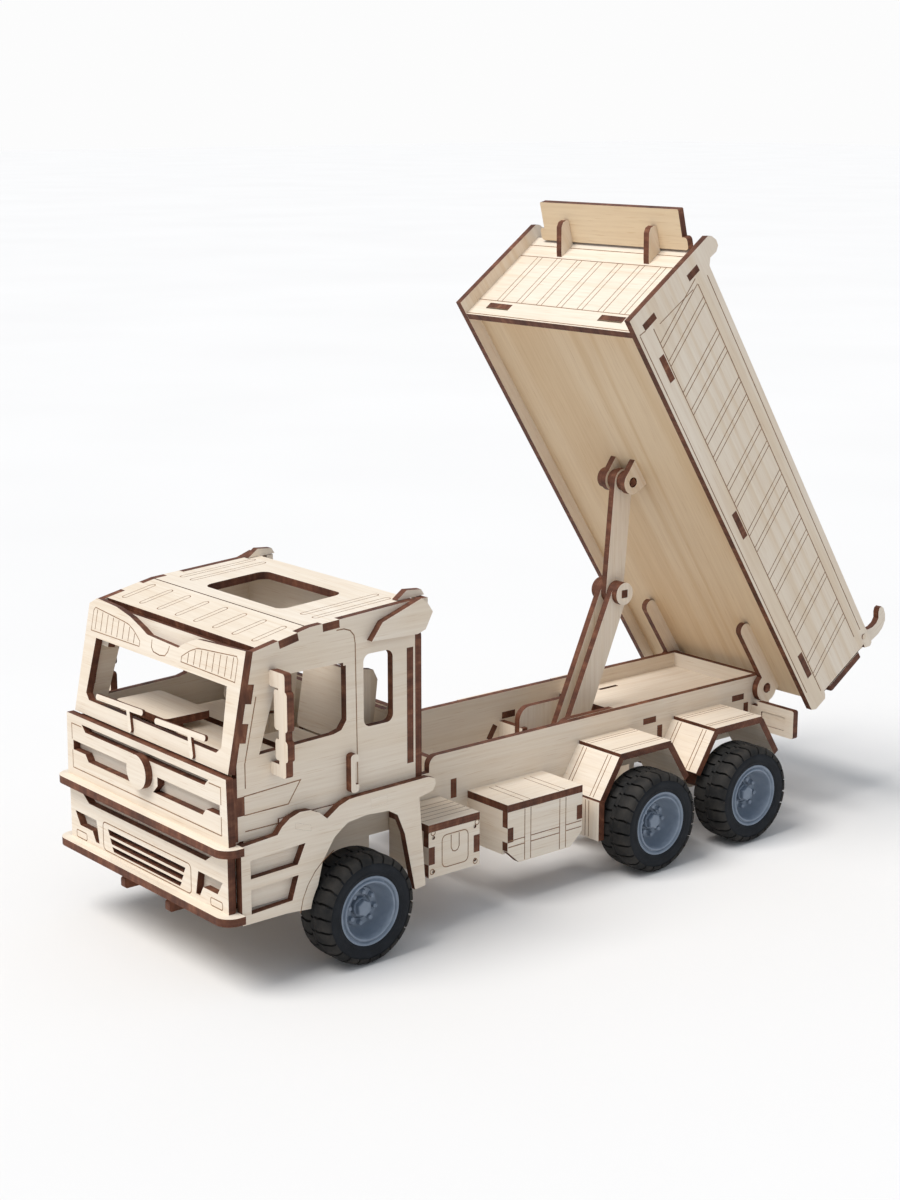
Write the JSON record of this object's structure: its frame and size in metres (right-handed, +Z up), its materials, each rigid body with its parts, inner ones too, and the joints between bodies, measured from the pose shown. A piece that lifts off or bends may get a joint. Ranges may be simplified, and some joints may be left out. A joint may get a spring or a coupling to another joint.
{
  "type": "wooden 3d jigsaw model",
  "caption": "Interlocking plywood model of a cab-over tipper truck whose bed lifts on a folding prop arm and whose wheels turn.",
  "frame": {"origin": "middle of the truck's footprint on the ground, at the centre of its bounding box", "axes": "+X towards the nose, +Y towards the truck's left side, +Z up"},
  "size_m": [0.3676, 0.1288, 0.2679],
  "materials": {
    "plywood": "pale laser-cut birch plywood with dark burnt edges",
    "dowel": "dark burnt wood",
    "tyre": "matte black moulded tyre",
    "rim": "light grey moulded rim"
  },
  "bodies": {
    "truck": {"chassis_rails": "plywood", "cross_plates": "plywood", "tray_floor": "plywood", "tray_rear_wall": "plywood", "light_bars": "plywood", "prop_base": "plywood", "axles": "dowel", "mudguards": "plywood", "fuel_tanks": "plywood", "battery_boxes": "plywood", "cab_side_left": "plywood", "cab_side_right": "plywood", "cab_rear_wall": "plywood", "cab_rear_panel": "plywood", "cab_floor": "plywood", "front_frame": "plywood", "upper_front_plate": "plywood", "roof_front": "plywood", "roof_rear": "plywood", "grille_panel": "plywood", "nose_backings": "plywood", "grille_disc": "plywood", "bumper_shelves": "plywood", "bumper_panel": "plywood", "step_panels": "plywood", "step_backings": "plywood", "wipers": "plywood", "mirrors": "plywood", "door_handles": "plywood", "roof_fairings": "plywood", "dashboard": "plywood", "seats": "plywood", "skid_and_tow": "plywood", "hinge_pegs": "dowel"},
    "bed": {"bed_floor": "plywood", "bed_side_left": "plywood", "bed_side_right": "plywood", "bed_front_wall": "plywood", "canopy_board": "plywood", "canopy_supports": "plywood", "hinge_bars": "plywood", "bracket_ears": "plywood", "bracket_pin": "dowel"},
    "tailgate": {"tailgate": "plywood", "tailgate_hooks": "plywood"},
    "upper_arm": {"prop_upper_arm": "plywood"},
    "lower_arm": {"prop_lower_arm": "plywood", "prop_pins": "dowel"},
    "wheel_front_left": {"tyre_front_left": "tyre", "rim_front_left": "rim"},
    "wheel_front_right": {"tyre_front_right": "tyre", "rim_front_right": "rim"},
    "wheel_mid_left": {"tyre_mid_left": "tyre", "rim_mid_left": "rim"},
    "wheel_mid_right": {"tyre_mid_right": "tyre", "rim_mid_right": "rim"},
    "wheel_rear_left": {"tyre_rear_left": "tyre", "rim_rear_left": "rim"},
    "wheel_rear_right": {"tyre_rear_right": "tyre", "rim_rear_right": "rim"}
  },
  "joints": [
    {"name": "bed_hinge", "type": "hinge", "parent": "truck", "child": "bed", "pos_m": [-0.12589, 0, 0.0537], "axis": [0, 1, 0], "range_deg": [0, 56.7]},
    {"name": "prop_top", "type": "hinge", "parent": "bed", "child": "upper_arm", "pos_m": [-0.06248, 0, 0.15096], "axis": [0, 1, 0], "range_deg": [-124.4, 0]},
    {"name": "prop_knee", "type": "hinge", "parent": "upper_arm", "child": "lower_arm", "pos_m": [-0.05827, 0, 0.10284], "axis": [0, 1, 0], "range_deg": [0, 183.2]},
    {"name": "tailgate_hinge", "type": "hinge", "parent": "bed", "child": "tailgate", "pos_m": [-0.16481, 0, 0.07532], "axis": [0, 1, 0], "range_deg": [0, 75]},
    {"name": "front_left_spin", "type": "hinge", "parent": "truck", "child": "wheel_front_left", "pos_m": [0.12381, 0.055, 0.02105], "axis": [0, 1, 0], "continuous": true},
    {"name": "front_right_spin", "type": "hinge", "parent": "truck", "child": "wheel_front_right", "pos_m": [0.12381, -0.055, 0.02105], "axis": [0, 1, 0], "continuous": true},
    {"name": "mid_left_spin", "type": "hinge", "parent": "truck", "child": "wheel_mid_left", "pos_m": [-0.02629, 0.055, 0.02105], "axis": [0, 1, 0], "continuous": true},
    {"name": "mid_right_spin", "type": "hinge", "parent": "truck", "child": "wheel_mid_right", "pos_m": [-0.02629, -0.055, 0.02105], "axis": [0, 1, 0], "continuous": true},
    {"name": "rear_left_spin", "type": "hinge", "parent": "truck", "child": "wheel_rear_left", "pos_m": [-0.08229, 0.055, 0.02105], "axis": [0, 1, 0], "continuous": true},
    {"name": "rear_right_spin", "type": "hinge", "parent": "truck", "child": "wheel_rear_right", "pos_m": [-0.08229, -0.055, 0.02105], "axis": [0, 1, 0], "continuous": true}
  ],
  "couplings": [
    {"joint": "prop_top", "follows": "bed_hinge", "ratio": -2.1902},
    {"joint": "prop_knee", "follows": "bed_hinge", "ratio": 3.2253}
  ]
}
